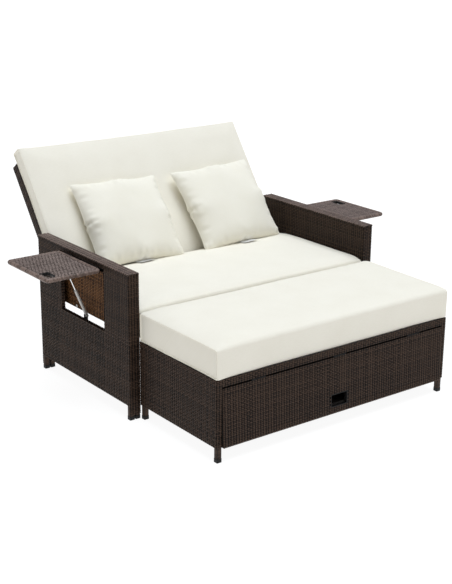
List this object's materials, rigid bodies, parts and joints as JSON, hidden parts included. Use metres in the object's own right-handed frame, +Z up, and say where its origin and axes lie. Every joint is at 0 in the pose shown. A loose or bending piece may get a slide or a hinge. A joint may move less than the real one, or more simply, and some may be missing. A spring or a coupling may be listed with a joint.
{
  "type": "double chaise lounger",
  "caption": "Two-seat woven lounger with a reclining back, fold-down side trays on gas stays, loose pillows and a storage ottoman with a top-hung flap.",
  "frame": {"origin": "on the floor, under the middle of the whole piece's footprint, the ottoman included", "axes": "+X across the seat to a sitter's left, +Y from the ottoman towards the back, +Z up"},
  "size_m": [1.688, 1.4586, 0.8783],
  "materials": {
    "dark_frame": "satin",
    "brown_weave": "satin",
    "tray_weave": "satin",
    "ivory_cloth": "matte",
    "cream_cloth": "matte",
    "zinc_steel": "satin",
    "bright_rod": "polished",
    "grey_cylinder": "satin",
    "dark_plastic": "matte",
    "black_rubber": "matte",
    "storage_board": "matte"
  },
  "bodies": {
    "sofa": {"arm_legs_left": "dark_frame", "arm_rails_left": "dark_frame", "arm_outer_weave_left": "brown_weave", "arm_inner_weave_left": "brown_weave", "arm_top_weave_left": "brown_weave", "arm_end_weave_left": "brown_weave", "arm_legs_right": "dark_frame", "arm_rails_right": "dark_frame", "arm_outer_weave_right": "brown_weave", "arm_inner_weave_right": "brown_weave", "arm_top_weave_right": "brown_weave", "arm_end_weave_right": "brown_weave", "sofa_foot_caps": "dark_plastic", "seat_frame": "dark_frame", "seat_side_bars": "dark_frame", "seat_bolts": "zinc_steel", "seat_deck_weave": "brown_weave", "seat_cushion": "ivory_cloth", "recline_pivot_bolts": "zinc_steel", "tray_hinge_leaves": "dark_frame", "tray_hinge_pins": "zinc_steel", "stay_sill_brackets": "dark_frame", "stay_foot_pins": "zinc_steel"},
    "backrest": {"back_frame": "dark_frame", "back_front_weave": "brown_weave", "back_rear_weave": "brown_weave", "back_edge_weave": "brown_weave", "recline_upper_plates": "dark_frame", "back_cushion": "ivory_cloth"},
    "left_pillow": {"pillow_left": "cream_cloth"},
    "right_pillow": {"pillow_right": "cream_cloth"},
    "ottoman": {"ottoman_legs": "dark_frame", "ottoman_top_rails": "dark_frame", "ottoman_low_rails": "dark_frame", "ottoman_side_weave": "brown_weave", "ottoman_rear_weave": "brown_weave", "ottoman_front_band": "brown_weave", "ottoman_deck_weave": "brown_weave", "ottoman_storage_floor": "storage_board", "ottoman_foot_caps": "dark_plastic", "ottoman_cushion": "ivory_cloth", "flap_bumpers": "black_rubber", "flap_hinge_leaves": "dark_frame", "flap_hinge_pins": "zinc_steel"},
    "flap": {"flap_frame": "dark_frame", "flap_weave": "brown_weave", "flap_hand_rim": "dark_plastic", "flap_hinge_lugs": "dark_frame"},
    "left_tray": {"tray_frame_left": "dark_frame", "tray_weave_left": "tray_weave", "tray_hinge_lugs_left": "dark_frame", "tray_stay_bracket_left": "dark_frame"},
    "left_stay_cylinder": {"stay_cylinder_left": "grey_cylinder"},
    "left_stay_rod": {"stay_rod_left": "bright_rod"},
    "right_tray": {"tray_frame_right": "dark_frame", "tray_weave_right": "tray_weave", "tray_hinge_lugs_right": "dark_frame", "tray_stay_bracket_right": "dark_frame"},
    "right_stay_cylinder": {"stay_cylinder_right": "grey_cylinder"},
    "right_stay_rod": {"stay_rod_right": "bright_rod"}
  },
  "joints": [
    {"name": "recline", "type": "hinge", "parent": "sofa", "child": "backrest", "pos_m": [0, 0.35143, 0.335], "axis": [-1, 0, 0], "range_deg": [-16.5, 53.5]},
    {"name": "left_pillow_slide", "type": "slide", "parent": "backrest", "child": "left_pillow", "axis": [0, 0.5948, 0.8039], "range_m": [-0.10371, 0.03268]},
    {"name": "right_pillow_slide", "type": "slide", "parent": "backrest", "child": "right_pillow", "axis": [0, 0.5948, 0.8039], "range_m": [-0.10371, 0.03268]},
    {"name": "left_tray_fold", "type": "hinge", "parent": "sofa", "child": "left_tray", "pos_m": [-0.607, 0.09393, 0.55], "axis": [0, -1, 0], "range_deg": [0, 90]},
    {"name": "left_stay_swing", "type": "hinge", "parent": "sofa", "child": "left_stay_cylinder", "pos_m": [-0.58, 0.10793, 0.316], "axis": [0, 1, 0], "range_deg": [0, 21.53]},
    {"name": "left_stay_stroke", "type": "slide", "parent": "left_stay_cylinder", "child": "left_stay_rod", "axis": [0.3827, 0, -0.9239], "range_m": [0, 0.05333]},
    {"name": "right_tray_fold", "type": "hinge", "parent": "sofa", "child": "right_tray", "pos_m": [0.607, 0.09393, 0.55], "axis": [0, 1, 0], "range_deg": [0, 90]},
    {"name": "right_stay_swing", "type": "hinge", "parent": "sofa", "child": "right_stay_cylinder", "pos_m": [0.58, 0.07993, 0.316], "axis": [0, -1, 0], "range_deg": [0, 21.53]},
    {"name": "right_stay_stroke", "type": "slide", "parent": "right_stay_cylinder", "child": "right_stay_rod", "axis": [-0.3827, 0, -0.9239], "range_m": [0, 0.05333]},
    {"name": "ottoman_slide", "type": "slide", "parent": "sofa", "child": "ottoman", "axis": [0, -1, 0], "range_m": [0, 0.6]},
    {"name": "flap_lift", "type": "hinge", "parent": "ottoman", "child": "flap", "pos_m": [0, -0.71857, 0.2794], "axis": [-1, 0, 0], "range_deg": [0, 85]}
  ],
  "couplings": [
    {"joint": "left_pillow_slide", "follows": "recline", "m_per_rad": -0.11},
    {"joint": "right_pillow_slide", "follows": "recline", "m_per_rad": -0.11},
    {"joint": "left_stay_swing", "follows": "left_tray_fold", "ratio": 0.23906},
    {"joint": "left_stay_stroke", "follows": "left_tray_fold", "m_per_rad": 0.033921},
    {"joint": "right_stay_swing", "follows": "right_tray_fold", "ratio": 0.23906},
    {"joint": "right_stay_stroke", "follows": "right_tray_fold", "m_per_rad": 0.033921}
  ]
}
